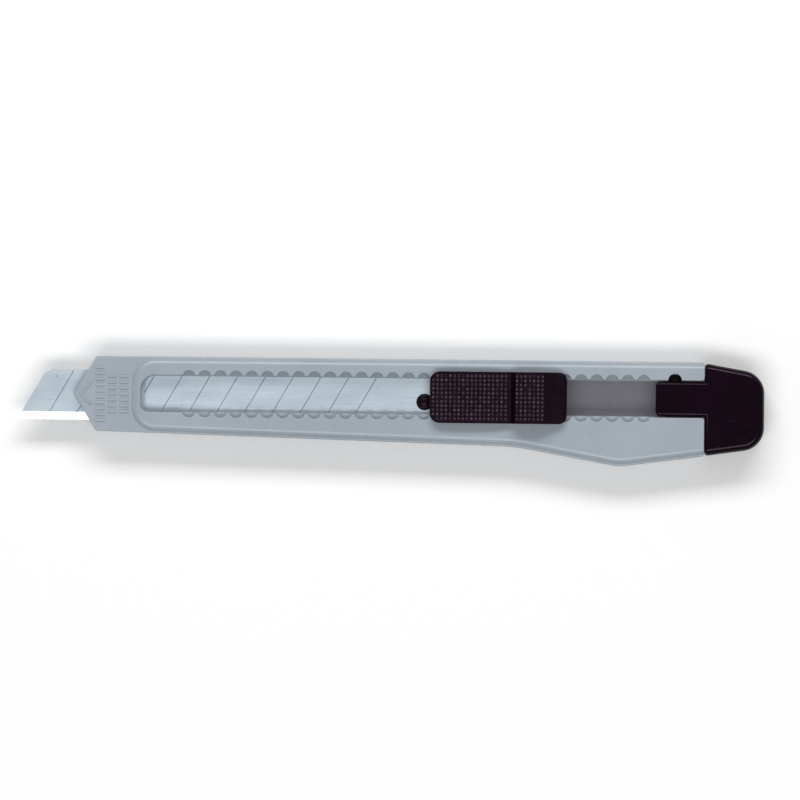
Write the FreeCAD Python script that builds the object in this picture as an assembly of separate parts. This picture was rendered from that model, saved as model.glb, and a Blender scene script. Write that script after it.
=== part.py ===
import FreeCAD, Part
import math
import os

# A light snap-off knife for a 9 mm segmented blade, lying on its back. All sizes are in millimetres.
# X runs along the knife: the blade points to -X and the end cap sits at +X.
# Y runs across it: the blade's spine is towards +Y and its cutting edge towards -Y.
# Z comes up out of the face that carries the thumb slide. The origin lies on the back face, under the
# middle of the knife's length and height.
# The handle is one moulding: a flat channel for the blade, open at the rear, under a slot in the front face.
# The slot has a straight lip at its bottom and a row of round pockets along each edge above the lip.

Vector = FreeCAD.Vector

# Overall sizes
total_length = 134.6        # blade tip to end cap, with the blade out by blade_out
blade_out = 10.1            # how far the tip stands past the nose
cap_length = 10.65
joint_gap = 0.15            # between the handle's rear end and the cap
handle_height = 18.85       # top edge to the lowest point of the belly
body_thickness = 6.8
nose_thickness = 6.2        # as far as the foot of the ramp

tip_x = -total_length / 2
end_x = total_length / 2
nose_x = tip_x + blade_out
cap_x = end_x - cap_length
joint_x = cap_x - joint_gap
top_y = handle_height / 2

# Handle outline, as depths below the top edge
nose_height = 13.5
nose_run = 4.1              # from the nose's point back to its shoulders
waist_x = 22.3
waist_depth = 15.57
waist_round = 35.0
belly_x = 41.2
belly_depth = 18.98         # of the corner, before its round
belly_round = 10.0
rear_depth = 16.95
corner_round = 0.5

# Raised front face, which starts with a ramp behind the nose
ramp_foot_x = nose_x + 10.2
ramp_top_x = nose_x + 11.75
ramp_ease = 0.55            # how far the ramp runs out over the nose, past its foot
ramp_overrun = 0.06         # how far its ends pass the two levels, so that it cuts them cleanly
ramp_end_slope = 0.15
face_corner = 4.7
face_round = 1.6
back_round = 0.8
nose_round = 0.3            # of the nose's front face
nose_point_round = 0.6
rim_round = 0.2

# Shallow recess in the back face
recess_front_x = -38.0
recess_rear_x = 30.0
recess_width = 6.8
recess_corner = 3.3
recess_depth = 0.3

# Raised marks on the nose: rows of ticks as (distance from the nose's point, count), and a chevron
tick_rows = [(4.0, 10), (6.15, 7), (8.3, 7)]
tick_length = 1.65
tick_width = 0.5
tick_pitch = 1.06
tick_corner = 0.18
mark_height = 0.16
mark_root = 0.1             # how far the marks reach into the nose
chevron_run = 1.0           # of its point, from the nose's point
chevron_reach = 1.9         # of its arms, in both directions
chevron_width = 0.5

# Levels, from the back up
channel_floor = 1.6
slit_floor = 4.02
channel_top = 4.6
lip_top = 5.6

# Blade channel and slot, as depths below the top edge
slot_y = top_y - 6.68
blade_y = top_y - 7.02
channel_width = 9.4
slit_width = 9.2
channel_front_x = nose_x + 12.0
lip_width = 6.4
lip_x = nose_x + 12.7
lip_corners = (2.0, 0.9)    # at the front: upper, lower
slot_width = 6.7
slot_x = nose_x + 12.1
slot_corners = (2.6, 1.5)
mouth_round = 0.5

# Detent pockets along the slot
pocket_count = 30
pocket_pitch = 2.825
first_pocket_x = nose_x + 20.8
pocket_radius = 1.05
pocket_inset = 0.15         # of the pocket's centre, from the slot's edge line into the slot
cusp_round = 0.25
detent_index = 17           # the pockets that hold the spring now, counted from the nose
latch_x = joint_x - 5.35
latch_notch_radius = 1.24

# Blade
blade_length = 80.0
blade_width = 9.0
blade_thickness = 0.38
blade_low = 4.12
segment_count = 12
segment_length = 5.0
score_angle = math.radians(60)
score_depth = 0.18
score_width = 0.2
edge_bevel = 1.4
edge_flat = 0.02
tip_corner_run = 1.5        # the small corner cut off the first segment's spine
tip_corner_drop = 0.65
tang_hole_x = tip_x + 73.4
tang_hole_y = blade_y - 0.67
tang_hole_radius = 1.5
blade_rear_x = tip_x + blade_length

# Thumb slide
slide_length = 24.7
slide_width = 9.3
slide_x = tip_x + 74.3
slide_y = slot_y - 0.1
slide_gap = 0.1             # between its underside and the handle's face
slide_front_corner = 1.8
slide_rear_corner = 1.5
front_high = 0.8            # heights over its underside, from the front edge to the rear one
pad_high = 1.5
pad_crown_high = 1.72
dip_high = 1.2
ridge_high = 3.0
ridge_crown_high = 3.08
tail_high = 1.1
rear_high = 0.45
pad_start = 0.7             # distances from its front edge
pad_end = 12.3
dip_end = 14.6
ridge_start = 16.0
ridge_end = 20.0
tail_end = 24.0
neck_x = slide_x + 7.9
neck_length = 15.0
neck_width = 5.9
neck_corner = 0.5
root = 0.2                  # how far joined shapes reach into each other
pin_radius = 0.9
pin_clearance = 0.05
pin_recess = 0.1            # of the pins' ends, above the carrier's underside
pin_offsets = (3.2, 12.0)   # of the two pins, from the neck's front

# Blade carrier
carrier_x = tang_hole_x - 2.3
carrier_rear_x = neck_x + neck_length
carrier_width = 9.1
carrier_low = 1.75
carrier_high = 4.07
carrier_skin = 0.9
carrier_corner = 0.6
core_start = 3.0            # of its front hollow, behind the peg's middle
core_corner = 0.4
rear_core_length = 4.4
peg_radius = 1.35
peg_high = 4.95
peg_dome = 0.4

# Detent spring
spring_strip = 0.3
spring_low = 5.72
spring_high = 6.72
spring_half_width = 3.05
spring_bump_radius = 0.85
spring_reach = 2.3          # of the arms, past the bumps
spring_tab = 1.6            # how far its tab reaches into the slide's neck
spring_clearance = 0.02
spring_set_back = 0.1       # of its web, from the neck

# End cap, as depths below the top edge
cap_top_depth = 0.1
cap_bottom_depth = 16.93
cap_end_top_depth = 2.0
cap_end_bottom_depth = 15.3
cap_corner = 4.1
cap_face_round = 1.1
cap_mating_round = 0.3
tongue_length = 8.95
tongue_width = 6.15
tongue_low = 4.72
tongue_corner = 0.7
tongue_round = 0.5
latch_bump_base = 1.7
latch_bump_height = 0.62
latch_bump_high = 6.35
latch_bump_round = 0.3
latch_bump_cut = 0.15       # what the round takes off the bump's tip
spigot_length = 7.0
spigot_floor_high = 3.4
spigot_rail = 1.05
spigot_clearance = 0.15
belly_key_length = 4.5      # of the key that fills the front of the belly's hollow
snap_slot_width = 10.0
snap_slot_height = 0.9
snap_slot_depth = 6.0

# Hollow in the belly, behind the cap
belly_hollow_length = 20.0
belly_hollow_top_depth = 13.2
belly_hollow_bottom_depth = 15.6
belly_hollow_high = 5.0


def rounded_wire(corners, z):
    """A closed wire through corners of (x, y, radius) at height z, with a tangent arc at each corner."""
    edges, joins = [], []
    for i, (x, y, radius) in enumerate(corners):
        here = Vector(x, y, z)
        before = Vector(*corners[i - 1][:2], z)
        after = Vector(*corners[(i + 1) % len(corners)][:2], z)
        if radius == 0:
            joins.append((here, None, here))
            continue
        back = (before - here).normalize()
        onward = (after - here).normalize()
        half = back.getAngle(onward) / 2
        inward = (back + onward).normalize()
        run = radius / math.tan(half)
        centre = here + inward * (radius / math.sin(half))
        joins.append((here + back * run, centre - inward * radius, here + onward * run))
    for i, (start, middle, stop) in enumerate(joins):
        if middle is not None:
            edges.append(Part.Arc(start, middle, stop).toShape())
        following = joins[(i + 1) % len(joins)][0]
        if stop.distanceToPoint(following) > 1e-6:
            edges.append(Part.LineSegment(stop, following).toShape())
    return Part.Wire(edges)


def prism(corners, low, high):
    return Part.Face(rounded_wire(corners, low)).extrude(Vector(0, 0, high - low))


def block(x_low, x_high, y_low, y_high, z_low, z_high, corner=0.0):
    """A box with its upright corners rounded."""
    corners = [
        (x_low, y_low, corner), (x_high, y_low, corner),
        (x_high, y_high, corner), (x_low, y_high, corner),
    ]
    return prism(corners, z_low, z_high)


def post(x, y, radius, low, high):
    return Part.makeCylinder(radius, high - low, Vector(x, y, low))


def joined(shapes):
    return shapes[0].fuse(shapes[1:]).removeSplitter()


def level_edges(shape, z, without_x=None):
    """The edges that lie flat at height z, leaving out those that lie on the plane x = without_x."""
    def chosen(edge):
        box = edge.BoundBox
        level = abs(box.ZMin - z) < 1e-4 and abs(box.ZMax - z) < 1e-4
        if without_x is None:
            return level
        left_out = abs(box.XMin - without_x) < 1e-4 and abs(box.XMax - without_x) < 1e-4
        return level and not left_out
    return [edge for edge in shape.Edges if chosen(edge)]


def handle_corners(point_round, shoulder_round, rear_round):
    shoulder_x = nose_x + nose_run
    return [
        (nose_x, top_y - nose_height / 2, point_round),
        (shoulder_x, top_y - nose_height, shoulder_round),
        (waist_x, top_y - waist_depth, waist_round),
        (belly_x, top_y - belly_depth, belly_round),
        (joint_x, top_y - rear_depth, rear_round),
        (joint_x, top_y, rear_round),
        (shoulder_x, top_y, shoulder_round),
    ]


def raised_face_corners():
    """The handle's outline behind the nose, with large corners where the ramp begins."""
    shoulder_x = nose_x + nose_run
    slope = (waist_depth - nose_height) / (waist_x - shoulder_x)
    front_depth = nose_height + slope * (ramp_foot_x - shoulder_x)
    return [
        (ramp_foot_x, top_y, face_corner),
        (ramp_foot_x, top_y - front_depth, face_corner),
        (waist_x, top_y - waist_depth, waist_round),
        (belly_x, top_y - belly_depth, belly_round),
        (joint_x, top_y - rear_depth, 0.0),
        (joint_x, top_y, 0.0),
    ]


def above_ramp():
    """What lies above the ramp between the nose and the raised face, which eases in at its foot."""
    high = body_thickness + 1
    back_x = ramp_foot_x - ramp_ease - 1
    at = lambda x, z: Vector(x, -handle_height, z)
    start = at(ramp_foot_x - ramp_ease, nose_thickness - ramp_overrun)
    middle = at((ramp_foot_x + ramp_top_x) / 2, (nose_thickness + body_thickness) / 2)
    stop = at(ramp_top_x, body_thickness + ramp_overrun)
    end_way = Vector(1, 0, ramp_end_slope)
    ramp = Part.BSplineCurve()
    ramp.interpolate(Points=[start, middle, stop], InitialTangent=end_way, FinalTangent=end_way)
    around = Part.makePolygon([stop, at(stop.x, high), at(back_x, high), at(back_x, start.z), start])
    wire = Part.Wire([ramp.toShape()] + around.Edges)
    return Part.Face(wire).extrude(Vector(0, 2 * handle_height, 0))


def pocketed_edge(side, z):
    """The slot's edge above the lip, from its plain front part to its rear mouth: side +1 is the top one."""
    line_y = slot_y + side * slot_width / 2
    centre_y = line_y - side * pocket_inset
    round_y = line_y + side * cusp_round
    across = math.sqrt((pocket_radius + cusp_round) ** 2 - (cusp_round + pocket_inset) ** 2)
    point = lambda x, y: Vector(x, y, z)
    edges = []
    front_corner = slot_corners[0] if side == 1 else slot_corners[1]
    here = point(slot_x + front_corner, line_y)
    for i in range(pocket_count):
        x = first_pocket_x + i * pocket_pitch
        centre = point(x, centre_y)
        joints = []
        for hand in (-1, 1):
            round_centre = point(x + hand * across, round_y)
            outward = (round_centre - centre).normalize()
            on_pocket = centre + outward * pocket_radius
            on_line = point(round_centre.x, line_y)
            lean = ((on_pocket - round_centre) + (on_line - round_centre)).normalize()
            joints.append((on_line, round_centre + lean * cusp_round, on_pocket))
        (line_in, bend_in, arc_in), (line_out, bend_out, arc_out) = joints
        top = centre + point(0, side * pocket_radius) - point(0, 0)
        edges.append(Part.LineSegment(here, line_in).toShape())
        edges.append(Part.Arc(line_in, bend_in, arc_in).toShape())
        edges.append(Part.Arc(arc_in, top, arc_out).toShape())
        edges.append(Part.Arc(arc_out, bend_out, line_out).toShape())
        here = line_out
    # the mouth flares a little at the handle's rear end
    flare_start = point(joint_x - mouth_round, line_y)
    flare_end = point(joint_x, line_y + side * mouth_round)
    turn = mouth_round * (1 - math.sqrt(0.5))
    flare_middle = point(joint_x - turn, line_y + side * turn)
    beyond = point(joint_x + 1, flare_end.y)
    edges.append(Part.LineSegment(here, flare_start).toShape())
    edges.append(Part.Arc(flare_start, flare_middle, flare_end).toShape())
    edges.append(Part.LineSegment(flare_end, beyond).toShape())
    return edges, beyond


def pocketed_slot(low, high):
    """The space of the slot above its lip."""
    upper, upper_end = pocketed_edge(1, low)
    lower, lower_end = pocketed_edge(-1, low)
    half = slot_width / 2
    front = []
    for side, radius in zip((1, -1), slot_corners):
        turn = radius * (1 - math.sqrt(0.5))
        along = Vector(slot_x + radius, slot_y + side * half, low)
        middle = Vector(slot_x + turn, slot_y + side * (half - turn), low)
        down = Vector(slot_x, slot_y + side * (half - radius), low)
        front.append((along, middle, down))
    edges = upper + [Part.LineSegment(upper_end, lower_end).toShape()] + lower
    edges += [Part.Arc(*corner).toShape() for corner in front]
    edges.append(Part.LineSegment(front[0][2], front[1][2]).toShape())
    wire = Part.Wire(Part.__sortEdges__(edges))
    return Part.Face(wire).extrude(Vector(0, 0, high - low))


def nose_ribs():
    """Raised ticks in three rows across the nose, and an open chevron that points to the blade."""
    low = nose_thickness - mark_root
    high = nose_thickness + mark_height
    middle_y = top_y - nose_height / 2
    ribs = []
    for run, count in tick_rows:
        front_x = nose_x + run
        for i in range(count):
            low_y = middle_y + (i - (count - 1) / 2) * tick_pitch - tick_width / 2
            high_y = low_y + tick_width
            ribs.append(block(front_x, front_x + tick_length, low_y, high_y, low, high, tick_corner))
    point_x = nose_x + chevron_run
    arm_x = point_x + chevron_reach
    chevron = [
        (point_x, middle_y, 0.0),
        (arm_x, middle_y - chevron_reach, 0.0),
        (arm_x + chevron_width, middle_y - chevron_reach, 0.0),
        (point_x + chevron_width, middle_y, 0.0),
        (arm_x + chevron_width, middle_y + chevron_reach, 0.0),
        (arm_x, middle_y + chevron_reach, 0.0),
    ]
    ribs.append(prism(chevron, low, high))
    return ribs


def make_handle():
    slab = prism(handle_corners(0.0, 0.0, 0.0), 0, nose_thickness)
    slab = slab.makeFillet(back_round, level_edges(slab, 0, without_x=joint_x))
    slab = slab.makeFillet(nose_round, level_edges(slab, nose_thickness, without_x=joint_x))
    face = prism(raised_face_corners(), 2.0, body_thickness)
    face = face.makeFillet(face_round, level_edges(face, body_thickness, without_x=joint_x))
    face = face.cut(above_ramp())
    handle = joined([slab, face])

    past_rear = joint_x + 1
    half_channel, half_slit, half_lip = channel_width / 2, slit_width / 2, lip_width / 2
    spaces = [
        block(
            channel_front_x, past_rear, blade_y - half_channel, blade_y + half_channel,
            channel_floor, channel_top,
        ),
        block(
            nose_x - 1, channel_front_x + 1, blade_y - half_slit, blade_y + half_slit,
            slit_floor, channel_top,
        ),
        block(
            joint_x - belly_hollow_length, past_rear,
            top_y - belly_hollow_bottom_depth, top_y - belly_hollow_top_depth,
            channel_floor, belly_hollow_high,
        ),
    ]
    upper_corner, lower_corner = lip_corners
    lip_outline = [
        (lip_x, slot_y - half_lip, lower_corner),
        (past_rear, slot_y - half_lip, 0.0),
        (past_rear, slot_y + half_lip, 0.0),
        (lip_x, slot_y + half_lip, upper_corner),
    ]
    spaces.append(prism(lip_outline, channel_top - 0.5, lip_top + 0.5))
    handle = handle.cut(joined(spaces))

    handle = handle.cut(pocketed_slot(lip_top, body_thickness + 1))
    half_slot = slot_width / 2 + pocket_radius
    rim = [
        edge for edge in level_edges(handle, body_thickness, without_x=joint_x)
        if abs(edge.BoundBox.Center.y - slot_y) < half_slot and edge.BoundBox.XMin > slot_x - 0.1
    ]
    handle = handle.makeFillet(rim_round, rim)

    latch_y = slot_y + slot_width / 2
    latch_notch = post(latch_x, latch_y, latch_notch_radius, channel_top - 0.5, body_thickness + 1)
    half_recess = recess_width / 2
    recess = block(
        recess_front_x, recess_rear_x, blade_y - half_recess, blade_y + half_recess,
        -1, recess_depth, recess_corner,
    )
    handle = handle.cut([latch_notch, recess])
    handle = handle.fuse(nose_ribs())
    trim = prism(handle_corners(nose_point_round, corner_round, corner_round), -1, body_thickness + 1)
    return handle.common(trim).removeSplitter()


def blade_section(x_low, x_high):
    """The blade's strip between two places, with its cutting edge ground on both faces."""
    high = blade_low + blade_thickness
    middle = blade_low + blade_thickness / 2
    spine_y = blade_y + blade_width / 2
    edge_y = blade_y - blade_width / 2
    profile = [
        (spine_y, blade_low), (edge_y + edge_bevel, blade_low), (edge_y, middle - edge_flat / 2),
        (edge_y, middle + edge_flat / 2), (edge_y + edge_bevel, high), (spine_y, high),
    ]
    points = [Vector(x_low, y, z) for y, z in profile]
    wire = Part.makePolygon(points + points[:1])
    return Part.Face(wire).extrude(Vector(x_high - x_low, 0, 0))


def slanted_block(edge_x_low, edge_x_high, low, high):
    """A leaning block whose ends follow the score lines. The places are those at the cutting edge."""
    reach = 1.0
    edge_y = blade_y - blade_width / 2 - reach
    spine_y = blade_y + blade_width / 2 + reach
    lean = 1 / math.tan(score_angle)
    shift_low = -reach * lean
    shift_high = (blade_width + reach) * lean
    corners = [
        (edge_x_low + shift_low, edge_y, 0.0), (edge_x_high + shift_low, edge_y, 0.0),
        (edge_x_high + shift_high, spine_y, 0.0), (edge_x_low + shift_high, spine_y, 0.0),
    ]
    return prism(corners, low, high)


def score_groove(edge_x):
    """The V-shaped score that crosses the blade's front face at edge_x."""
    high = blade_low + blade_thickness
    half = score_width / 2
    lean = 1 / math.tan(score_angle)
    reach = 1.0
    start_y = blade_y - blade_width / 2 - reach
    start_x = edge_x - reach * lean
    triangle = [
        Vector(start_x - half, start_y, high), Vector(start_x, start_y, high - score_depth),
        Vector(start_x + half, start_y, high), Vector(start_x + half, start_y, high + 0.1),
        Vector(start_x - half, start_y, high + 0.1),
    ]
    wire = Part.makePolygon(triangle + triangle[:1])
    travel = blade_width + 2 * reach
    return Part.Face(wire).extrude(Vector(travel * lean, travel, 0))


def make_blade_segments():
    """The twelve snap-off segments, which meet face to face on the steel left under each score."""
    segments = []
    for i in range(segment_count):
        low_x = tip_x + i * segment_length
        high_x = low_x + segment_length
        strip = blade_section(low_x - 2, high_x + blade_width)
        piece = strip.common(slanted_block(low_x, high_x, blade_low - 1, blade_low + 1))
        grooves = [score_groove(high_x)]
        if i:
            grooves.append(score_groove(low_x))
        piece = piece.cut(grooves)
        if i == 0:
            spine_y = blade_y + blade_width / 2
            lean = 1 / math.tan(score_angle)
            front_x = tip_x + (blade_width - tip_corner_drop) * lean
            corner = [
                (front_x, spine_y - tip_corner_drop, 0.0), (front_x + tip_corner_run, spine_y, 0.0),
                (front_x + tip_corner_run, spine_y + 1, 0.0), (front_x - 1, spine_y + 1, 0.0),
                (front_x - 1, spine_y - tip_corner_drop, 0.0),
            ]
            piece = piece.cut(prism(corner, blade_low - 1, blade_low + 1))
        segments.append(piece)
    return segments


def make_blade_tang():
    low_x = tip_x + segment_count * segment_length
    strip = blade_section(low_x - 2, blade_rear_x)
    tang = strip.common(slanted_block(low_x, blade_rear_x + blade_width, blade_low - 1, blade_low + 1))
    hole = post(tang_hole_x, tang_hole_y, tang_hole_radius, blade_low - 1, blade_low + 1)
    return tang.cut([score_groove(low_x), hole])


def make_carrier():
    half = carrier_width / 2
    bar = block(
        carrier_x, carrier_rear_x, blade_y - half, blade_y + half,
        carrier_low, carrier_high, carrier_corner,
    )
    peg = post(tang_hole_x, tang_hole_y, peg_radius, carrier_high - root, peg_high)
    peg = peg.makeFillet(peg_dome, level_edges(peg, peg_high))
    # the underside is cored out in front of the pins and between them
    core_half = half - carrier_skin
    middle_x = neck_x + neck_length / 2
    stretches = [
        (tang_hole_x + core_start, neck_x + 0.5),
        (middle_x - rear_core_length / 2, middle_x + rear_core_length / 2),
    ]
    hollows = [
        block(
            front_x, rear_x, blade_y - core_half, blade_y + core_half,
            carrier_low - 1, carrier_high - carrier_skin, core_corner,
        )
        for front_x, rear_x in stretches
    ]
    holes = [
        post(neck_x + offset, slot_y, pin_radius + pin_clearance, carrier_low - 1, carrier_high + 1)
        for offset in pin_offsets
    ]
    return bar.fuse(peg).cut(hollows + holes).removeSplitter()


def slide_profile():
    """The thumb slide's side view, from its front edge: a long pad, a dip, a ridge and a sloping tail."""
    low = body_thickness + slide_gap
    at = lambda run, rise: Vector(slide_x + run, slide_y - slide_width, low + rise)
    line = lambda start, stop: Part.LineSegment(start, stop).toShape()
    arc = lambda start, middle, stop: Part.Arc(start, middle, stop).toShape()
    front, pad_front, pad_rear = at(0, front_high), at(pad_start, pad_high), at(pad_end, pad_high)
    dip_rear = at(dip_end, dip_high + 0.05)
    ridge_foot, ridge_front = at(ridge_start - 0.7, ridge_high - 0.35), at(ridge_start, ridge_high)
    ridge_rear, ridge_heel = at(ridge_end, ridge_high), at(ridge_end + 0.75, ridge_high - 0.55)
    tail_rear, rear = at(tail_end, tail_high), at(slide_length, rear_high)
    return Part.Wire([
        line(at(0, 0), front),
        arc(front, at(0.3 * pad_start, pad_high - 0.22), pad_front),
        arc(pad_front, at((pad_start + pad_end) / 2, pad_crown_high), pad_rear),
        arc(pad_rear, at((pad_end + dip_end) / 2, dip_high), dip_rear),
        line(dip_rear, ridge_foot),
        arc(ridge_foot, at(ridge_start - 0.4, ridge_high - 0.07), ridge_front),
        arc(ridge_front, at((ridge_start + ridge_end) / 2, ridge_crown_high), ridge_rear),
        arc(ridge_rear, at(ridge_end + 0.45, ridge_high - 0.15), ridge_heel),
        arc(ridge_heel, at((ridge_end + tail_end) / 2 + 0.3, tail_high + 0.5), tail_rear),
        arc(tail_rear, at(tail_end + 0.5, tail_high - 0.2), rear),
        line(rear, at(slide_length, 0)),
        line(at(slide_length, 0), at(0, 0)),
    ])


def make_slide():
    low = body_thickness + slide_gap
    half = slide_width / 2
    rear_x = slide_x + slide_length
    corners = [
        (slide_x, slide_y - half, slide_front_corner), (rear_x, slide_y - half, slide_rear_corner),
        (rear_x, slide_y + half, slide_rear_corner), (slide_x, slide_y + half, slide_front_corner),
    ]
    plan = prism(corners, low, low + 5)
    side = Part.Face(slide_profile()).extrude(Vector(0, 2 * slide_width, 0))
    pad = plan.common(side)
    half_neck = neck_width / 2
    neck = block(
        neck_x, neck_x + neck_length, slot_y - half_neck, slot_y + half_neck,
        carrier_high, low + root, neck_corner,
    )
    pins = [
        post(neck_x + offset, slot_y, pin_radius, carrier_low + pin_recess, carrier_high + root)
        for offset in pin_offsets
    ]
    slot_half = spring_strip / 2 + spring_clearance
    spring_slot = block(
        neck_x - 1, neck_x + spring_tab + spring_clearance, slot_y - slot_half, slot_y + slot_half,
        spring_low - spring_clearance, spring_high + spring_clearance,
    )
    return joined([pad, neck] + pins).cut(spring_slot)


def make_spring():
    """A hairpin of spring strip: a tab held in the slide's neck, a web, and two arms with round bumps."""
    bump_x = first_pocket_x + detent_index * pocket_pitch
    web_rear = neck_x - spring_set_back
    web_front = web_rear - spring_strip
    inner = spring_half_width - spring_strip
    strips = [
        block(
            web_front, web_rear, slot_y - spring_half_width, slot_y + spring_half_width,
            spring_low, spring_high,
        ),
        block(
            web_front, neck_x + spring_tab, slot_y - spring_strip / 2, slot_y + spring_strip / 2,
            spring_low, spring_high,
        ),
    ]
    bump_inner = spring_bump_radius - spring_strip
    for side in (-1, 1):
        arm_low, arm_high = sorted((slot_y + side * inner, slot_y + side * spring_half_width))
        far_low, far_high = sorted((slot_y + side * inner, slot_y + side * (spring_half_width + 1)))
        stretches = [(bump_x + bump_inner, web_rear), (bump_x - spring_reach, bump_x - bump_inner)]
        for start_x, stop_x in stretches:
            strips.append(block(start_x, stop_x, arm_low, arm_high, spring_low, spring_high))
        centre_y = slot_y + side * inner
        ring = post(bump_x, centre_y, spring_bump_radius, spring_low, spring_high)
        ring = ring.cut(post(bump_x, centre_y, bump_inner, spring_low - 1, spring_high + 1))
        strips.append(ring.common(block(bump_x - 2, bump_x + 2, far_low, far_high, spring_low, spring_high)))
    return joined(strips)


def make_cap():
    corners = [
        (cap_x, top_y - cap_top_depth, 0.0),
        (cap_x, top_y - cap_bottom_depth, 0.0),
        (end_x, top_y - cap_end_bottom_depth, cap_corner),
        (end_x, top_y - cap_end_top_depth, cap_corner),
    ]
    shell = prism(corners, 0, body_thickness)
    shell = shell.makeFillet(cap_face_round, level_edges(shell, body_thickness, without_x=cap_x))
    shell = shell.makeFillet(back_round, level_edges(shell, 0, without_x=cap_x))
    mating = [
        edge for edge in shell.Edges
        if abs(edge.BoundBox.XMin - cap_x) < 1e-4 and edge.BoundBox.XLength < 1e-4
    ]
    shell = shell.makeFillet(cap_mating_round, mating)

    half = channel_width / 2 - spigot_clearance
    front = cap_x - spigot_length
    into = cap_x + 1
    low = channel_floor + spigot_clearance
    high = channel_top - spigot_clearance
    spigot = [
        block(front, into, blade_y - half, blade_y + half, low, spigot_floor_high),
        block(front, into, blade_y - half, blade_y - half + spigot_rail, low, high),
        block(front, into, blade_y + half - spigot_rail, blade_y + half, low, high),
        block(
            cap_x - belly_key_length, into,
            top_y - belly_hollow_bottom_depth + spigot_clearance,
            top_y - belly_hollow_top_depth - spigot_clearance,
            low, belly_hollow_high - spigot_clearance,
        ),
    ]
    slit_y = top_y - (cap_end_top_depth + cap_end_bottom_depth) / 2
    slit_z = body_thickness / 2
    slit = block(
        end_x - snap_slot_depth, end_x + 1, slit_y - snap_slot_width / 2, slit_y + snap_slot_width / 2,
        slit_z - snap_slot_height / 2, slit_z + snap_slot_height / 2,
    )
    return joined([shell] + spigot).cut(slit)


def make_latch_tongue():
    """The cap's springy tongue, which fills the slot's rear end and snaps into its notch with a bump."""
    front = cap_x - tongue_length
    half = tongue_width / 2
    corners = [
        (front, slot_y - half, tongue_corner), (cap_x, slot_y - half, 0.0),
        (cap_x, slot_y + half, 0.0), (front, slot_y + half, tongue_corner),
    ]
    tongue = prism(corners, tongue_low, body_thickness)
    tongue = tongue.makeFillet(tongue_round, level_edges(tongue, body_thickness, without_x=cap_x))
    base = latch_bump_base / 2
    bump = [
        (latch_x - base, slot_y + half - 0.5, 0.0), (latch_x + base, slot_y + half - 0.5, 0.0),
        (latch_x + base, slot_y + half, latch_bump_round),
        (latch_x, slot_y + half + latch_bump_height + latch_bump_cut, latch_bump_round),
        (latch_x - base, slot_y + half, latch_bump_round),
    ]
    return joined([tongue, prism(bump, tongue_low, latch_bump_high)])


def main():
    os.makedirs("parts", exist_ok=True)
    parts = {
        "handle_body": make_handle(),
        "blade_tang": make_blade_tang(),
        "blade_carrier": make_carrier(),
        "thumb_slide": make_slide(),
        "detent_spring": make_spring(),
        "end_cap": make_cap(),
        "latch_tongue": make_latch_tongue(),
    }
    for i, segment in enumerate(make_blade_segments(), start=1):
        parts[f"blade_segment_{i:02d}"] = segment
    for name, shape in parts.items():
        shape.exportStep(f"parts/{name}.step")
        print(name, "solids", len(shape.Solids), "valid", shape.isValid(), "volume", round(shape.Volume, 2))


main()
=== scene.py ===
# Looks of the snap-off knife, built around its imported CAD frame.
# Pieces are shaped in millimetres, and shrunk to the frame's metres when they are done.
import bmesh
import bpy
import math
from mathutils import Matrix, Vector


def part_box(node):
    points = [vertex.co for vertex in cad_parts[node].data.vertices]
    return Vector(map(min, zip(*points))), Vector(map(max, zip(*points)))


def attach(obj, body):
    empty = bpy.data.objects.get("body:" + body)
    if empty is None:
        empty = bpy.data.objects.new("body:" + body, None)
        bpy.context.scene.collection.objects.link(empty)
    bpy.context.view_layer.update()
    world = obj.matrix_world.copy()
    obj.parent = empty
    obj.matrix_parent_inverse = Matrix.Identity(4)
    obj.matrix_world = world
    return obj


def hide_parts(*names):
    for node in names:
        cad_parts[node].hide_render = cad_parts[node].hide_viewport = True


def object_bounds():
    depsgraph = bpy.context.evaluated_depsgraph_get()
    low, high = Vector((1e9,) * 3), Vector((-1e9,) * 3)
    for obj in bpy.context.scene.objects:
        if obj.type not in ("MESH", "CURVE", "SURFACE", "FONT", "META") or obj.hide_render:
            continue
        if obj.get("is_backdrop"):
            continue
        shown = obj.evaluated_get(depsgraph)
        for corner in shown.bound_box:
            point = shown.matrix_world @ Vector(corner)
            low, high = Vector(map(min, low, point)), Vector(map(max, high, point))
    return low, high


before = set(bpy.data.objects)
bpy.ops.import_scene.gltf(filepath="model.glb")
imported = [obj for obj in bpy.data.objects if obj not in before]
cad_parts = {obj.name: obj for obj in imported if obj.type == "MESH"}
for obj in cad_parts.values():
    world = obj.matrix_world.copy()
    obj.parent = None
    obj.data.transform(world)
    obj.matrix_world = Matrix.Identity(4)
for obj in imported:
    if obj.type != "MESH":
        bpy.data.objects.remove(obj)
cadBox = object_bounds()
mm = 0.001
touch = 1e-3  # places nearer than this count as the same, in millimetres
weld = 1e-4   # points nearer than this are merged, in millimetres
print("frame loaded,", len(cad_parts), "nodes")


# working tools

def pick(*objects):
    if bpy.context.object and bpy.context.object.mode != "OBJECT":
        bpy.ops.object.mode_set(mode="OBJECT")
    bpy.ops.object.select_all(action="DESELECT")
    for each in objects:
        each.select_set(True)
        bpy.context.view_layer.objects.active = each


def nodeBox(node):
    low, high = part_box(node)
    return Vector(low) / mm, Vector(high) / mm


def addBox(name, low, high):
    pick()
    low, high = Vector(low), Vector(high)
    bpy.ops.mesh.primitive_cube_add(size=1, location=(low + high) / 2, scale=high - low)
    box = bpy.context.object
    box.name = name
    bpy.ops.object.transform_apply(location=True, rotation=True, scale=True)
    return box


def addRod(name, x, y, radius, low, high, sides=48):
    pick()
    bpy.ops.mesh.primitive_cylinder_add(
        vertices=sides, radius=radius, depth=high - low, location=(x, y, (low + high) / 2))
    rod = bpy.context.object
    rod.name = name
    bpy.ops.object.transform_apply(location=True, rotation=True, scale=True)
    return rod


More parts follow.
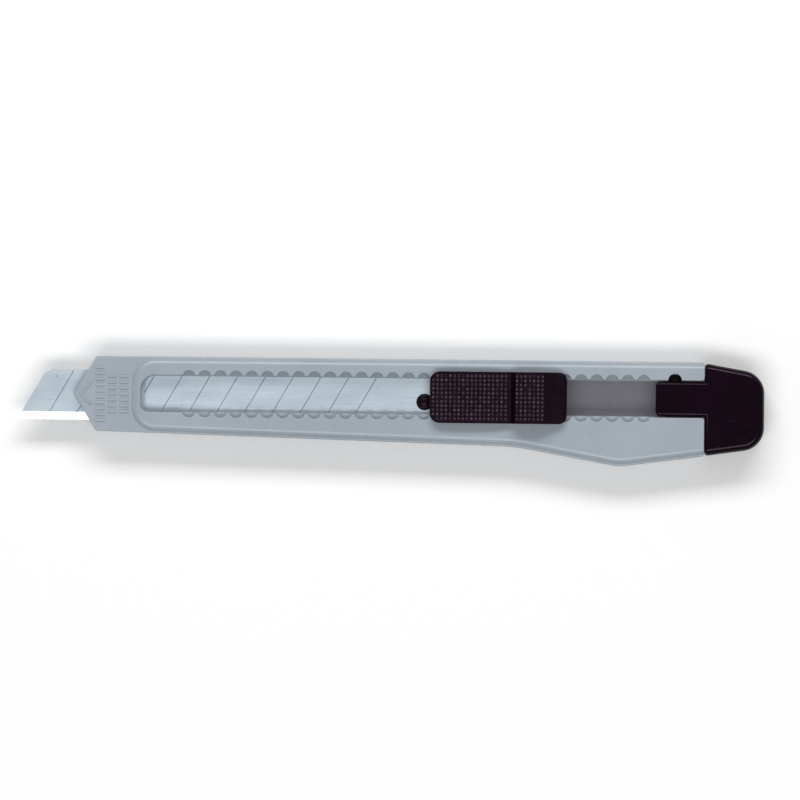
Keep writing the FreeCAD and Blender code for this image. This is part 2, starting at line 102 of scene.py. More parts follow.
def choose(piece, kind, test):
    # selects the verts, edges or faces that pass the test, and stays in edit mode
    pick(piece)
    bpy.ops.object.mode_set(mode="EDIT")
    bpy.ops.mesh.select_mode(type=kind)
    bpy.ops.mesh.select_all(action="DESELECT")
    mesh = bmesh.from_edit_mesh(piece.data)
    found = {"VERT": mesh.verts, "EDGE": mesh.edges, "FACE": mesh.faces}[kind]
    chosen = [each for each in found if test(each)]
    for each in chosen:
        each.select_set(True)
    bmesh.update_edit_mesh(piece.data)
    return len(chosen)


def done():
    bpy.ops.object.mode_set(mode="OBJECT")


def slicePiece(piece, point, normal, drop=None):
    # drop is "ahead" or "behind" the plane, or None to leave both sides
    pick(piece)
    bpy.ops.object.mode_set(mode="EDIT")
    bpy.ops.mesh.select_all(action="SELECT")
    bpy.ops.mesh.bisect(
        plane_co=point, plane_no=normal, use_fill=drop is not None,
        clear_outer=drop == "ahead", clear_inner=drop == "behind", threshold=1e-5)
    done()


def shiftVerts(piece, test, move):
    choose(piece, "VERT", lambda vert: test(vert.co))
    bpy.ops.transform.translate(value=move)
    done()


def roundEdges(piece, test, radius, steps):
    if choose(piece, "EDGE", test):
        bpy.ops.mesh.bevel(offset=radius, segments=steps, profile=0.5, affect="EDGES", clamp_overlap=False)
    done()


def allNear(edge, axis, value):
    return all(abs(vert.co[axis] - value) < touch for vert in edge.verts)


def upright(edge):
    a, b = (vert.co for vert in edge.verts)
    return abs(a.z - b.z) > touch and (a.xy - b.xy).length < touch


def sharp(edge, degrees=20):
    return len(edge.link_faces) == 2 and edge.calc_face_angle() > math.radians(degrees)


def useModifier(piece, kind, **values):
    pick(piece)
    modifier = piece.modifiers.new(kind.lower(), kind)
    for name, value in values.items():
        setattr(modifier, name, value)
    bpy.ops.object.modifier_apply(modifier=modifier.name)


def combine(piece, other, how):
    # how is DIFFERENCE, UNION or INTERSECT; the other shape is used up
    useModifier(piece, "BOOLEAN", object=other, operation=how, solver="EXACT")
    bpy.data.objects.remove(other, do_unlink=True)


def joinTo(piece, *others):
    pick(*others, piece)
    bpy.ops.object.join()


def tidyMesh(piece):
    pick(piece)
    bpy.ops.object.mode_set(mode="EDIT")
    bpy.ops.mesh.select_all(action="SELECT")
    bpy.ops.mesh.remove_doubles(threshold=weld)
    bpy.ops.mesh.normals_make_consistent(inside=False)
    done()


def copyNode(node, name):
    # a merged copy of a CAD node, in millimetres
    pick()
    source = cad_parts[node]
    copy = bpy.data.objects.new(name, source.data.copy())
    bpy.context.scene.collection.objects.link(copy)
    copy.scale = (1 / mm,) * 3
    pick(copy)
    bpy.ops.object.transform_apply(location=False, rotation=False, scale=True)
    bpy.ops.mesh.customdata_custom_splitnormals_clear()
    tidyMesh(copy)
    return copy


def finishPiece(piece, material, body, nodes, smooth):
    # smooth is the angle in degrees over which edges stay sharp, or 0 for flat faces
    tidyMesh(piece)
    bpy.ops.object.transform_apply(location=True, rotation=True, scale=True)
    piece.scale = (mm,) * 3
    bpy.ops.object.transform_apply(location=False, rotation=False, scale=True)
    if smooth:
        bpy.ops.object.shade_smooth_by_angle(angle=math.radians(smooth))
        useModifier(piece, "WEIGHTED_NORMAL", keep_sharp=True, weight=80)
    else:
        bpy.ops.object.shade_flat()
    piece.data.materials.clear()
    piece.data.materials.append(material)
    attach(piece, body)
    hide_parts(*nodes)
    print("made", piece.name, "with", len(piece.data.polygons), "faces")


# material tools

def startMaterial(name, **values):
    material = bpy.data.materials.new(name)
    material.use_nodes = True
    shader = material.node_tree.nodes["Principled BSDF"]
    for key, value in values.items():
        shader.inputs[key.replace("_", " ")].default_value = value
    return material, shader


def connect(material, socket, value):
    if isinstance(value, bpy.types.NodeSocket):
        material.node_tree.links.new(value, socket)
    else:
        socket.default_value = value


def feed(material, shader, name, value):
    material.node_tree.links.new(value, shader.inputs[name])


def addNode(material, kind, *inputs, **named):
    node = material.node_tree.nodes.new(kind)
    for key, value in [*enumerate(inputs), *named.items()]:
        connect(material, node.inputs[key], value)
    return node


def objectPlace(material):
    return addNode(material, "ShaderNodeTexCoord").outputs["Object"]


def grain(material, size, stretch=(1, 1, 1), detail=3.0, rough=0.55):
    # cloudy noise with features about size millimetres across
    stretched = addNode(material, "ShaderNodeMapping", Vector=objectPlace(material), Scale=stretch)
    noise = addNode(
        material, "ShaderNodeTexNoise", Vector=stretched.outputs[0],
        Scale=1 / (size * mm), Detail=detail, Roughness=rough)
    return noise.outputs["Fac"]


def remap(material, value, fromLow, fromHigh, toLow=0, toHigh=1):
    return addNode(material, "ShaderNodeMapRange", value, fromLow, fromHigh, toLow, toHigh).outputs[0]


def clouds(material, size, low=0, high=1, **more):
    # grain spread out so that it runs from low to high
    return remap(material, grain(material, size, **more), 0.35, 0.65, low, high)


def mixColors(material, amount, colorA, colorB):
    mix = addNode(material, "ShaderNodeMix")
    mix.data_type = "RGBA"
    for index, value in ((0, amount), (6, colorA), (7, colorB)):
        connect(material, mix.inputs[index], value)
    return mix.outputs[2]


def sums(material, kind, a, b=0.0):
    node = addNode(material, "ShaderNodeMath", a, b)
    node.operation = kind
    return node.outputs[0]


def times(material, a, b):
    return sums(material, "MULTIPLY", a, b)


def addBump(material, shader, height, strength, depth):
    # depth in millimetres
    bump = addNode(material, "ShaderNodeBump", Strength=strength, Distance=depth * mm, Height=height)
    feed(material, shader, "Normal", bump.outputs[0])


def rgb(red, green, blue):
    # a colour as seen on screen, made linear for the shader
    def linear(value):
        value /= 255
        return value / 12.92 if value <= 0.04045 else ((value + 0.055) / 1.055) ** 2.4
    return (linear(red), linear(green), linear(blue), 1)


# materials: sizes are in millimetres, and each pair under rough is the smoothest and the roughest

greyPlasticFacts = {
    "light": rgb(159, 168, 176), "dark": rgb(151, 161, 170), "speck": rgb(118, 122, 128),
    "channel": rgb(137, 136, 146), "level": 0.45, "rough": (0.24, 0.32),
    "cloud": 14.0, "streak": 1.6, "speckSize": 0.4, "sheen": 4.0, "skin": 0.35, "skinDepth": 0.006,
    # the channel's painted shade starts and ends this far from the handle's ends, over its back and beside
    # the blade
    "channelStart": 12.3, "channelEnd": 0.5, "channelBottom": 1.0, "channelTop": 4.6, "channelSide": 0.3,
    "fade": 0.2,
}


def channelMask(material, facts):
    # 1 on the inside of the blade's channel, where painted shade darkens it, 0 elsewhere
    low, high = nodeBox("blade_segment_02")
    handleLow, handleHigh = nodeBox("handle_body")
    middle, half = (low.y + high.y) / 2, (high.y - low.y) / 2 + facts["channelSide"]
    start, end = handleLow.x + facts["channelStart"], handleHigh.x - facts["channelEnd"]
    bottom, top, fade = facts["channelBottom"], facts["channelTop"], facts["fade"]
    apart = addNode(material, "ShaderNodeSeparateXYZ", objectPlace(material)).outputs
    aside = sums(material, "ABSOLUTE", sums(material, "SUBTRACT", apart["Y"], middle * mm))
    mask = remap(material, aside, half * mm, (half + fade / 2) * mm, 1, 0)
    for limit in (
            remap(material, apart["Z"], (top - fade) * mm, top * mm, 1, 0),
            remap(material, apart["Z"], bottom * mm, (bottom + fade / 2) * mm),
            remap(material, apart["X"], start * mm, (start + fade) * mm),
            remap(material, apart["X"], end * mm, (end + fade) * mm, 1, 0)):
        mask = times(material, mask, limit)
    return mask


def makeGreyPlastic(facts):
    material, shader = startMaterial("greyPlastic", Specular_IOR_Level=facts["level"])
    streak = remap(material, grain(material, facts["streak"], (0.2, 1, 1), detail=1.0), 0.3, 0.7)
    cloud = times(material, clouds(material, facts["cloud"]), 0.8)
    blend = sums(material, "ADD", cloud, times(material, streak, 0.2))
    color = mixColors(material, blend, facts["dark"], facts["light"])
    specks = remap(material, grain(material, facts["speckSize"], detail=0.0), 0.785, 0.8, 0, 0.35)
    color = mixColors(material, specks, color, facts["speck"])
    # the inside of the channel gets a darker colour: painted shade standing in for the recess's occlusion
    color = mixColors(material, channelMask(material, facts), color, facts["channel"])
    feed(material, shader, "Base Color", color)
    low, high = facts["rough"]
    feed(material, shader, "Roughness", clouds(material, facts["sheen"], low, high, detail=1.0))
    addBump(material, shader, grain(material, facts["skin"], detail=4.0), 0.6, facts["skinDepth"])
    return material


gripPlasticFacts = {
    # the paler colour for the pebbles' tips is a painted highlight
    "light": rgb(17, 5, 16), "dark": rgb(10, 1, 9), "dust": rgb(56, 42, 56), "tipHighlight": rgb(92, 74, 90),
    "shine": (1, 0.75, 0.95, 1), "level": 0.17, "rough": (0.28, 0.4),
    "cloud": 2.5, "dustSize": 0.3, "tipHighlightSize": 0.7, "sheen": 0.8, "skin": 0.12, "skinDepth": 0.008,
}


def makeGripPlastic(facts):
    material, shader = startMaterial(
        "gripPlastic", Specular_IOR_Level=facts["level"], Specular_Tint=facts["shine"])
    color = mixColors(material, clouds(material, facts["cloud"]), facts["dark"], facts["light"])
    dust = remap(material, grain(material, facts["dustSize"], detail=2.0), 0.67, 0.8, 0, 0.5)
    color = mixColors(material, dust, color, facts["dust"])
    # the pebbles' tips are painted paler, as a painted highlight
    tipHighlight = addNode(material, "ShaderNodeAttribute")
    tipHighlight.attribute_name = "tipHighlight"
    patchy = remap(material, grain(material, facts["tipHighlightSize"], detail=2.0), 0.36, 0.64)
    tips = times(material, remap(material, tipHighlight.outputs["Fac"], 0.45, 1), patchy)
    feed(material, shader, "Base Color", mixColors(material, tips, color, facts["tipHighlight"]))
    low, high = facts["rough"]
    feed(material, shader, "Roughness", clouds(material, facts["sheen"], low, high))
    addBump(material, shader, grain(material, facts["skin"]), 0.8, facts["skinDepth"])
    return material


glossPlasticFacts = {
    "light": rgb(13, 1, 11), "dark": rgb(7, 0, 6), "scuff": rgb(64, 46, 64),
    "shine": (1, 0.7, 0.94, 1), "level": 0.185, "rough": (0.15, 0.22),
    "cloud": 5.0, "scuffWidth": 0.16, "scuffPatch": 2.2, "sheen": 2.0, "skin": 1.6, "skinDepth": 0.01,
}


def makeGlossPlastic(facts):
    material, shader = startMaterial(
        "glossPlastic", Specular_IOR_Level=facts["level"], Specular_Tint=facts["shine"])
    color = mixColors(material, clouds(material, facts["cloud"]), facts["dark"], facts["light"])
    # fine scuffs that come in patches
    lines = remap(material, grain(material, facts["scuffWidth"], (0.12, 1, 1), detail=2.0), 0.66, 0.74)
    patches = remap(material, grain(material, facts["scuffPatch"], detail=1.0), 0.52, 0.66, 0, 0.5)
    scuffs = times(material, lines, patches)
    feed(material, shader, "Base Color", mixColors(material, scuffs, color, facts["scuff"]))
    low, high = facts["rough"]
    rough = clouds(material, facts["sheen"], low, high)
    feed(material, shader, "Roughness", sums(material, "ADD", rough, times(material, scuffs, 0.25)))
    addBump(material, shader, grain(material, facts["skin"], detail=1.0), 0.5, facts["skinDepth"])
    return material


bladeSteelFacts = {
    "face": rgb(199, 212, 220), "dull": rgb(181, 194, 204), "ground": rgb(252, 253, 254),
    "spot": rgb(70, 64, 60), "rough": (0.42, 0.52), "groundRough": 0.24, "bevel": 1.4, "fade": 0.02,
    "rolledSize": 0.09, "rolledDepth": 0.002, "cloud": 4.0, "spotSize": 0.55, "stoneSize": 0.07,
}


def makeBladeSteel(facts):
    material, shader = startMaterial("bladeSteel", Metallic=1.0)
    rolled = grain(material, facts["rolledSize"], (0.006, 1, 1))
    cloud = grain(material, facts["cloud"], (0.35, 1, 1))
    tone = sums(material, "ADD", times(material, rolled, 0.45), times(material, cloud, 0.55))
    color = mixColors(material, remap(material, tone, 0.38, 0.62), facts["dull"], facts["face"])
    spots = remap(material, grain(material, facts["spotSize"], detail=1.0, rough=0.4), 0.785, 0.8, 0, 0.9)
    color = mixColors(material, spots, color, facts["spot"])
    # the ground bevel along the cutting edge
    across = addNode(material, "ShaderNodeSeparateXYZ", objectPlace(material)).outputs["Y"]
    edge, fade = nodeBox("blade_segment_01")[0].y + facts["bevel"], facts["fade"]
    ground = remap(material, across, (edge - fade) * mm, (edge + fade) * mm, 1, 0)
    stones = remap(material, grain(material, facts["stoneSize"], (1, 0.05, 1), detail=2.0), 0.3, 0.7)
    groundColor = mixColors(material, stones, facts["face"], facts["ground"])
    feed(material, shader, "Base Color", mixColors(material, ground, color, groundColor))
    low, high = facts["rough"]
    faceRough = remap(material, rolled, 0.3, 0.7, low, high)
    faceRough = times(material, faceRough, sums(material, "SUBTRACT", 1.0, ground))
    groundRough = times(material, ground, facts["groundRough"])
    feed(material, shader, "Roughness", sums(material, "ADD", faceRough, groundRough))
    addBump(material, shader, rolled, 0.35, facts["rolledDepth"])
    return material


springSteelFacts = {
    "light": rgb(190, 188, 184), "dark": rgb(150, 148, 146), "rough": (0.3, 0.45),
    "cloud": 0.4, "sheen": 0.2, "rolledSize": 0.1, "rolledDepth": 0.003,
}


def makeSpringSteel(facts):
    material, shader = startMaterial("springSteel", Metallic=1.0)
    tone = clouds(material, facts["cloud"], stretch=(0.2, 1, 1))
    feed(material, shader, "Base Color", mixColors(material, tone, facts["dark"], facts["light"]))
    low, high = facts["rough"]
    feed(material, shader, "Roughness", clouds(material, facts["sheen"], low, high))
    addBump(material, shader, grain(material, facts["rolledSize"], (0.05, 1, 1)), 0.4, facts["rolledDepth"])
    return material


greyPlastic = makeGreyPlastic(greyPlasticFacts)
gripPlastic = makeGripPlastic(gripPlasticFacts)
glossPlastic = makeGlossPlastic(glossPlasticFacts)
bladeSteel = makeBladeSteel(bladeSteelFacts)
springSteel = makeSpringSteel(springSteelFacts)
print("materials ready")


# handle

handleFacts = {"smooth": 32}


def makeHandle(facts):
    handle = copyNode("handle_body", "handleBody")
    finishPiece(handle, greyPlastic, "handle", ["handle_body"], facts["smooth"])


makeHandle(handleFacts)


# blade: twelve segments and the tang

bladeFacts = {
    "segments": 12, "pitch": 5.0, "lean": math.radians(60), "bevel": 1.4, "edgeShare": 0.06,
    "grooveHalf": 0.085, "grooveDepth": 0.13, "cornerRun": 1.5, "cornerDrop": 0.65,
    "tangRound": 0.5, "holeRadius": 1.5, "holeFromTip": 73.4, "holeBelowMiddle": 0.67, "smooth": 0,
}


def bladeStrip(name, facts, low, high, fromX, toX, grooves):
    # one stretch of the strip between two score lines, with half a groove at the ends named in grooves
    # the box is longer than the stretch, so that both slanting cuts fall inside it
    strip = addBox(name, (fromX - 2, low.y, low.z), (toX + 8, high.y, high.z))
    across = Vector((math.sin(facts["lean"]), -math.cos(facts["lean"]), 0))
    start, stop = Vector((fromX, low.y, 0)), Vector((toX, low.y, 0))
    slicePiece(strip, start, across, drop="behind")
    slicePiece(strip, stop, across, drop="ahead")
    inset = across * facts["grooveHalf"]
    for end, inward in (("low", start + inset), ("high", stop - inset)):
        if end in grooves:
            slicePiece(strip, inward, across)
    slicePiece(strip, (0, low.y + facts["bevel"], 0), (0, 1, 0))
    for end, point in (("low", start), ("high", stop)):
        if end in grooves:
            onEnd = lambda co: abs((co - point).dot(across)) < touch and co.z > high.z - touch
            shiftVerts(strip, onEnd, (0, 0, -facts["grooveDepth"]))
    # the cutting edge is pinched thin
    choose(strip, "VERT", lambda vert: vert.co.y < low.y + touch)
    bpy.ops.transform.resize(
        value=(1, 1, facts["edgeShare"]), center_override=(fromX, low.y, (low.z + high.z) / 2))
    done()
    return strip


def finishBlade(piece, node):
    finishPiece(piece, bladeSteel, "slider", [node], bladeFacts["smooth"])


def makeBlade(facts):
    low, high = nodeBox("blade_segment_02")
    tipX = nodeBox("blade_segment_01")[0].x
    pitch, segments = facts["pitch"], facts["segments"]

    first = bladeStrip("bladeSegment01", facts, low, high, tipX, tipX + pitch, ["high"])
    rise = high.y - low.y - facts["cornerDrop"]
    cornerX = tipX + rise / math.tan(facts["lean"])
    cutWay = Vector((-facts["cornerDrop"], facts["cornerRun"], 0)).normalized()
    slicePiece(first, (cornerX, high.y - facts["cornerDrop"], 0), cutWay, drop="ahead")
    finishBlade(first, "blade_segment_01")

    middle = bladeStrip("bladeSegment02", facts, low, high, tipX + pitch, tipX + 2 * pitch, ["low", "high"])
    copies = [middle]
    for number in range(3, segments + 1):
        pick(middle)
        bpy.ops.object.duplicate(linked=False)
        copy = bpy.context.object
        copy.name = f"bladeSegment{number:02d}"
        copy.location.x += (number - 2) * pitch
        copies.append(copy)
    for number, copy in enumerate(copies, start=2):
        finishBlade(copy, f"blade_segment_{number:02d}")

    endX = nodeBox("blade_tang")[1].x
    tang = bladeStrip("bladeTang", facts, low, high, tipX + segments * pitch, endX, ["low"])
    slicePiece(tang, (endX, 0, 0), (1, 0, 0), drop="ahead")
    rearCorner = lambda edge: upright(edge) and allNear(edge, 0, endX) and edge.verts[0].co.y > 0
    roundEdges(tang, rearCorner, facts["tangRound"], 4)
    holeX, holeY = tipX + facts["holeFromTip"], (low.y + high.y) / 2 - facts["holeBelowMiddle"]
    hole = addRod("hole", holeX, holeY, facts["holeRadius"], low.z - 1, high.z + 1)
    combine(tang, hole, "DIFFERENCE")
    finishBlade(tang, "blade_tang")


makeBlade(bladeFacts)


# blade carrier, with the peg that holds the blade

carrierFacts = {
    "top": 4.07, "pegRadius": 1.35, "pegTop": 4.95, "pegRoot": 0.3, "pegSides": 64, "pegRound": 0.36,
    # rings on the peg's end, from the outside in: how wide, and how far up or down from the last
    "rings": [(0.5, -0.02), (0.12, -0.1), (0.25, 0.12)],
    "smooth": 35,
}


def makeCarrier(facts):
    carrier = copyNode("blade_carrier", "bladeCarrier")
    slicePiece(carrier, (0, 0, facts["top"] + 0.01), (0, 0, 1), drop="ahead")
    tangLow, tangHigh = nodeBox("blade_tang")
    pegX = nodeBox("blade_segment_01")[0].x + bladeFacts["holeFromTip"]
    pegY = (tangLow.y + tangHigh.y) / 2 - bladeFacts["holeBelowMiddle"]
    pegTop = facts["pegTop"]
    pegLow = facts["top"] - facts["pegRoot"]
    peg = addRod("peg", pegX, pegY, facts["pegRadius"], pegLow, pegTop, facts["pegSides"])
    choose(peg, "FACE", lambda face: face.normal.z > 0.9 and face.calc_center_median().z > pegTop - touch)
    for width, lift in facts["rings"]:
        bpy.ops.mesh.inset(thickness=width)
        bpy.ops.transform.translate(value=(0, 0, lift))
    done()
    roundEdges(peg, lambda edge: allNear(edge, 2, pegTop) and sharp(edge, 40), facts["pegRound"], 5)
    joinTo(carrier, peg)
    finishPiece(
        carrier, gripPlastic, "slider", ["blade_carrier"], facts["smooth"])


makeCarrier(carrierFacts)


# detent spring

springFacts = {"smooth": 30}


def makeSpring(facts):
    spring = copyNode("detent_spring", "detentSpring")
    finishPiece(spring, springSteel, "slider", ["detent_spring"], facts["smooth"])


makeSpring(springFacts)


# thumb slide: pad, dip, ridge and tail, with a pebbled grip

slideFacts = {
    "bottom": 6.9, "frontCorner": 1.8, "rearCorner": 1.5, "cornerSteps": 8, "rim": 0.22, "rimSteps": 3,
    "rimAngle": math.radians(38), "stemOverlap": 0.05,
    # side view: how far from the front edge, how high over the underside
    "profile": [
        (0, 0.7), (0.22, 1.12), (0.7, 1.34), (2.5, 1.46), (4.5, 1.54), (6.5, 1.56), (8.5, 1.54), (10.5, 1.46),
        (12.3, 1.34), (13.1, 1.16), (13.9, 1.04), (14.6, 1.04), (14.9, 1.3), (15.25, 2.4), (15.5, 2.72),
        (16.0, 2.84), (18.0, 2.92), (20.0, 2.84), (20.45, 2.72), (20.75, 2.4), (21.3, 2.0), (22.0, 1.66),
        (23.0, 1.36), (24.0, 1.1), (24.45, 0.86), (24.7, 0.45),
    ],
    "pebbled": [(0.6, 14.3), (15.65, 20.5)],  # the stretches that carry pebbles
    "pebblePitch": 0.77, "pebbleRadius": 0.31, "pebbleHeight": 0.155, "pebbleSink": 0.04, "margin": 0.12,
    "smooth": 32,
}


def riseAt(run, profile):
    for (runA, riseA), (runB, riseB) in zip(profile, profile[1:]):
        if runA <= run <= runB:
            return riseA + (riseB - riseA) * (run - runA) / (runB - runA)
    return profile[-1][1]


def makePad(facts, low, high):
    # the side view is a box cut into strips, and each cut is lifted to its height
    frontX, bottom, profile = low.x, facts["bottom"], facts["profile"]
    side = addBox("side", (frontX, low.y - 1, bottom), (high.x, high.y + 1, bottom + 1))
    for run in [run for run, rise in profile[1:-1]]:
        slicePiece(side, (frontX + run, 0, 0), (1, 0, 0))
    for run, rise in profile:
        atCut = lambda co: abs(co.x - frontX - run) < touch and co.z > bottom + 0.5
        shiftVerts(side, atCut, (0, 0, rise - 1))

    # the plan view reaches past the side view below and above
    plan = addBox("thumbSlide", (frontX, low.y, bottom - 0.5), (high.x, high.y, bottom + 5))
    for x, radius in ((frontX, facts["frontCorner"]), (high.x, facts["rearCorner"])):
        roundEdges(plan, lambda edge: upright(edge) and allNear(edge, 0, x), radius, facts["cornerSteps"])
    combine(plan, side, "INTERSECT")
    useModifier(
        plan, "BEVEL", width=facts["rim"], segments=facts["rimSteps"],
        limit_method="ANGLE", angle_limit=facts["rimAngle"])
    return plan


def halfWidthAt(run, half, facts):
    # how far the pad reaches to each side of its middle line, which shrinks at the rounded front corners
    radius = facts["frontCorner"]
    if run >= radius:
        return half
    return half - radius + math.sqrt(radius ** 2 - (radius - run) ** 2)


def pebbleColumn(facts, run, low, high):
    # one pebble, shaped from a ball, then repeated across the pad
    radius, height, pitch = facts["pebbleRadius"], facts["pebbleHeight"], facts["pebblePitch"]
    room = halfWidthAt(run - radius, (high.y - low.y) / 2, facts) - facts["margin"] - radius
    side = int(room / pitch)
    base = facts["bottom"] + riseAt(run, facts["profile"])
    pick()
    bpy.ops.mesh.primitive_uv_sphere_add(
        segments=8, ring_count=6, radius=1, scale=(radius, radius, height),
        location=(low.x + run, (low.y + high.y) / 2 - side * pitch, base))
    column = bpy.context.object
    column.name = "pebbles"
    bpy.ops.object.transform_apply(location=True, rotation=True, scale=True)
    slicePiece(column, (0, 0, base - facts["pebbleSink"]), (0, 0, 1), drop="behind")
    # how near each point is to the tip, for the painted highlight on the tips
    tipHighlight = column.data.attributes.new("tipHighlight", "FLOAT", "POINT")
    for vert in column.data.vertices:
        tipHighlight.data[vert.index].value = max(0, (vert.co.z - base) / height)
    useModifier(
        column, "ARRAY", count=2 * side + 1, use_relative_offset=False, use_constant_offset=True,
        constant_offset_displace=(0, pitch, 0))
    return column


def pebbleColumns(facts, low, high):
    columns = []
    for start, stop in facts["pebbled"]:
        total = int((stop - start) / facts["pebblePitch"])
        for number in range(total + 1):
            columns.append(pebbleColumn(facts, start + number * facts["pebblePitch"], low, high))
    print("pebble columns:", len(columns))
    return columns


def makeThumbSlide(facts):
    low, high = nodeBox("thumb_slide")
    slide = makePad(facts, low, high)
    stem = copyNode("thumb_slide", "stem")
    slicePiece(stem, (0, 0, facts["bottom"] + facts["stemOverlap"]), (0, 0, 1), drop="ahead")
    joinTo(slide, stem, *pebbleColumns(facts, low, high))
    finishPiece(slide, gripPlastic, "slider", ["thumb_slide"], facts["smooth"])


makeThumbSlide(slideFacts)


# end cap with its latch tongue, one moulding

capFacts = {
    # rearTop and rearBottom: the rear face's ends, measured down from the cap's top edge
    "top": 6.8, "rearTop": 1.9, "rearBottom": 15.2, "corner": 4.1, "cornerSteps": 14,
    "faceRound": 1.25, "faceSteps": 8, "backRound": 0.8, "rimRound": 0.55, "rimSteps": 5,
    "tongueLow": 4.72, "tongueWidth": 6.15, "tongueCorner": 0.75, "tongueSteps": 6,
    # deep, wide, thick
    "slit": (6.0, 10.0, 0.9), "slitRound": 0.3,
    "bumpFromRoot": 5.5, "bumpBase": 0.85, "bumpTip": 0.3, "bumpRise": 0.62, "bumpRoot": 0.4, "bumpTop": 6.35,
    "bumpRound": 0.2, "bumpRim": 0.12, "smooth": 32,
}


def makeCapBlock(facts, mateX, endX):
    # a box whose rear face is narrower than its front, with round rear corners
    low, high = nodeBox("end_cap")
    cap = addBox("endCap", (mateX, low.y, 0), (endX, high.y, facts["top"]))
    drops = {1: facts["rearTop"], -1: high.y - facts["rearBottom"] - low.y}
    for side, drop in drops.items():
        atCorner = lambda co: co.x > endX - touch and co.y * side > 0
        shiftVerts(cap, atCorner, (0, -side * drop, 0))
    for side, drop in drops.items():
        slope = math.atan2(drop, endX - mateX)
        offset = facts["corner"] / math.tan((math.pi / 2 + slope) / 2)
        corner = lambda edge: (
            upright(edge) and allNear(edge, 0, endX) and sharp(edge) and edge.verts[0].co.y * side > 0)
        roundEdges(cap, corner, offset, facts["cornerSteps"])
    return cap


def drawTongue(cap, facts, mateX, frontX, slotY):
    # the tongue is drawn out of the mating face, level with the slot
    half, tongueLow = facts["tongueWidth"] / 2, facts["tongueLow"]
    slicePiece(cap, (0, slotY - half, 0), (0, 1, 0))
    slicePiece(cap, (0, slotY + half, 0), (0, 1, 0))
    slicePiece(cap, (0, 0, tongueLow), (0, 0, 1))
    root = lambda face: (
        face.normal.x < -0.9 and abs(face.calc_center_median().y - slotY) < half
        and face.calc_center_median().z > tongueLow)
    choose(cap, "FACE", root)
    bpy.ops.mesh.extrude_region_move(TRANSFORM_OT_translate={"value": (frontX - mateX, 0, 0)})
    bpy.ops.mesh.select_all(action="SELECT")
    bpy.ops.mesh.dissolve_limited(angle_limit=math.radians(0.5))
    done()
    nose = lambda edge: upright(edge) and allNear(edge, 0, frontX) and sharp(edge)
    roundEdges(cap, nose, facts["tongueCorner"], facts["tongueSteps"])


def roundCap(cap, facts, mateX, slotY):
    top, half = facts["top"], facts["tongueWidth"] / 2
    outer = lambda edge, z: (
        allNear(edge, 2, z) and sharp(edge) and not allNear(edge, 0, mateX)
        and min(vert.co.x for vert in edge.verts) > mateX - touch)
    roundEdges(cap, lambda edge: outer(edge, top), facts["faceRound"], facts["faceSteps"])
    roundEdges(cap, lambda edge: outer(edge, 0), facts["backRound"], facts["rimSteps"])
    # the hollow corners beside the tongue stay square, clear of the handle's rear end
    onMate = lambda edge: allNear(edge, 0, mateX) and sharp(edge) and (
        allNear(edge, 2, top) or abs(edge.verts[0].co.y - slotY) > half + 0.01)
    onTongue = lambda edge: (
        allNear(edge, 2, top) and sharp(edge) and max(vert.co.x for vert in edge.verts) < mateX + touch)
    roundEdges(cap, lambda edge: onMate(edge) or onTongue(edge), facts["rimRound"], facts["rimSteps"])


def cutSlit(cap, facts, endX):
    # the slit that a worn blade segment is snapped off in
    deep, wide, thick = facts["slit"]
    middleY = nodeBox("end_cap")[1].y - (facts["rearTop"] + facts["rearBottom"]) / 2
    middleZ = facts["top"] / 2
    slit = addBox(
        "slit", (endX - deep, middleY - wide / 2, middleZ - thick / 2),
        (endX + 1, middleY + wide / 2, middleZ + thick / 2))
    alongX = lambda edge: abs(edge.verts[0].co.x - edge.verts[1].co.x) > 1
    roundEdges(slit, alongX, facts["slitRound"], 4)
    combine(cap, slit, "DIFFERENCE")


def addLatchBump(cap, facts, mateX, edgeY):
    # the bump on the tongue's upper edge, narrower at its tip
    middleX, tipY = mateX - facts["bumpFromRoot"], edgeY + facts["bumpRise"]
    bump = addBox(
        "bump", (middleX - facts["bumpBase"], edgeY - facts["bumpRoot"], facts["tongueLow"]),
        (middleX + facts["bumpBase"], tipY, facts["bumpTop"]))
    choose(bump, "FACE", lambda face: face.normal.y > 0.9)
    bpy.ops.transform.resize(value=(facts["bumpTip"], 1, 1), center_override=(middleX, 0, 0))
    done()
    roundEdges(bump, lambda edge: upright(edge) and allNear(edge, 1, tipY), facts["bumpRound"], 4)
    roundEdges(bump, lambda edge: allNear(edge, 2, facts["bumpTop"]) and sharp(edge, 30), facts["bumpRim"], 2)
    combine(cap, bump, "UNION")


def makeCap(facts):
    tongueLow, tongueHigh = nodeBox("latch_tongue")
    mateX, endX = tongueHigh.x, nodeBox("end_cap")[1].x
    half = facts["tongueWidth"] / 2
    slotY = tongueLow.y + half
    cap = makeCapBlock(facts, mateX, endX)
    drawTongue(cap, facts, mateX, tongueLow.x, slotY)
    roundCap(cap, facts, mateX, slotY)
    cutSlit(cap, facts, endX)
    addLatchBump(cap, facts, mateX, slotY + half)
    spigot = copyNode("end_cap", "spigot")
    slicePiece(spigot, (mateX - 0.01, 0, 0), (1, 0, 0), drop="ahead")
    joinTo(cap, spigot)
    finishPiece(
        cap, glossPlastic, "cap", ["end_cap", "latch_tongue"], facts["smooth"])


makeCap(capFacts)


# floor, lights and camera

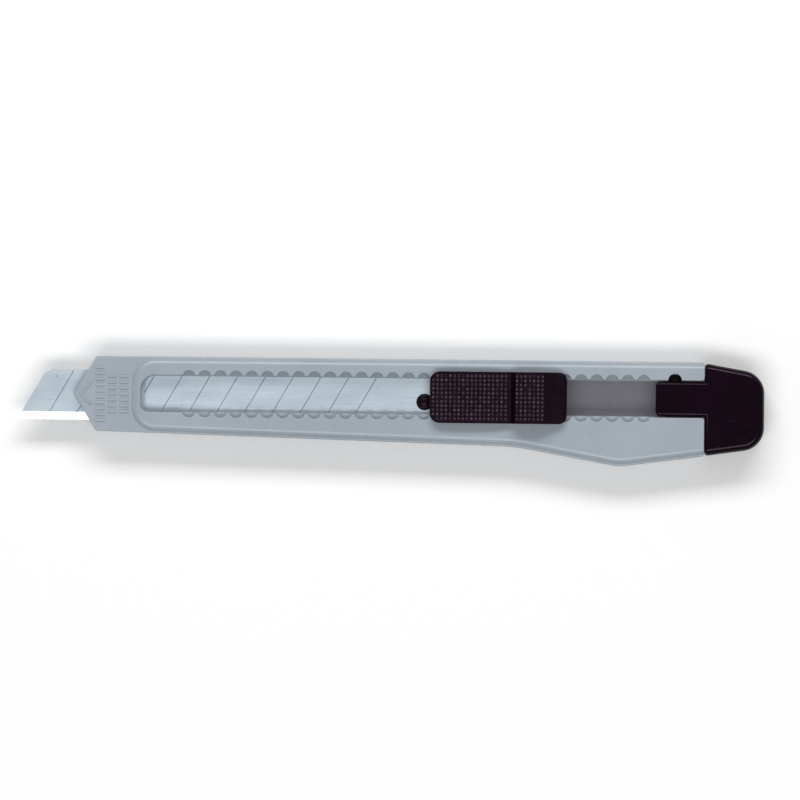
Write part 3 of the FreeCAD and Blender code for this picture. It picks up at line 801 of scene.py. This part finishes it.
floorFacts = {"size": 6.0, "color": (0.95, 0.95, 0.95, 1), "rough": 0.9, "level": 0.1, "drop": 0.0001}


def makeFloor(facts):
    pick()
    bpy.ops.mesh.primitive_plane_add(size=facts["size"], location=(0, 0, -facts["drop"]))
    floor = bpy.context.object
    floor.name = "floor"
    material, shader = startMaterial(
        "paleFloor", Base_Color=facts["color"], Roughness=facts["rough"],
        Specular_IOR_Level=facts["level"])
    floor.data.materials.append(material)
    floor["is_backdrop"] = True


lightFacts = {
    # name: place, width, depth, watts
    "keyLight": ((0.0, 0.85, 0.78), 1.2, 0.3, 8.8),
    "lowLight": ((0.0, -0.52, 1.08), 1.2, 0.4, 7.0),
}


def makeLights(facts):
    for name, (where, width, depth, power) in facts.items():
        pick()
        bpy.ops.object.light_add(type="AREA", location=where)
        light = bpy.context.object
        light.name = name
        light.data.shape = "RECTANGLE"
        light.data.size = width
        light.data.size_y = depth
        light.data.energy = power
        light.rotation_euler = (-Vector(where)).to_track_quat("-Z", "Y").to_euler()


worldFacts = {"color": (1, 1, 1, 1), "strength": 0.3}


def makeWorld(facts):
    world = bpy.context.scene.world or bpy.data.worlds.new("studio")
    bpy.context.scene.world = world
    world.use_nodes = True
    background = world.node_tree.nodes["Background"]
    background.inputs["Color"].default_value = facts["color"]
    background.inputs["Strength"].default_value = facts["strength"]
    bpy.context.scene.view_settings.view_transform = "Standard"


cameraFacts = {
    "height": 2.4, "lens": 598.0, "x": 0.00165, "y": 0.00205, "turn": 0.626, "nearest": 0.01, "farthest": 20,
}


def makeCamera(facts):
    pick()
    bpy.ops.object.camera_add(location=(facts["x"], facts["y"], facts["height"]))
    camera = bpy.context.object
    camera.name = "camera"
    camera.rotation_euler = (0, 0, math.radians(facts["turn"]))
    camera.data.lens = facts["lens"]
    camera.data.clip_start = facts["nearest"]
    camera.data.clip_end = facts["farthest"]
    bpy.context.scene.camera = camera


makeFloor(floorFacts)
makeLights(lightFacts)
makeWorld(worldFacts)
makeCamera(cameraFacts)
print("studio ready")

{"cad": [list(corner) for corner in cadBox], "visual": [list(corner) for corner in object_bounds()]}
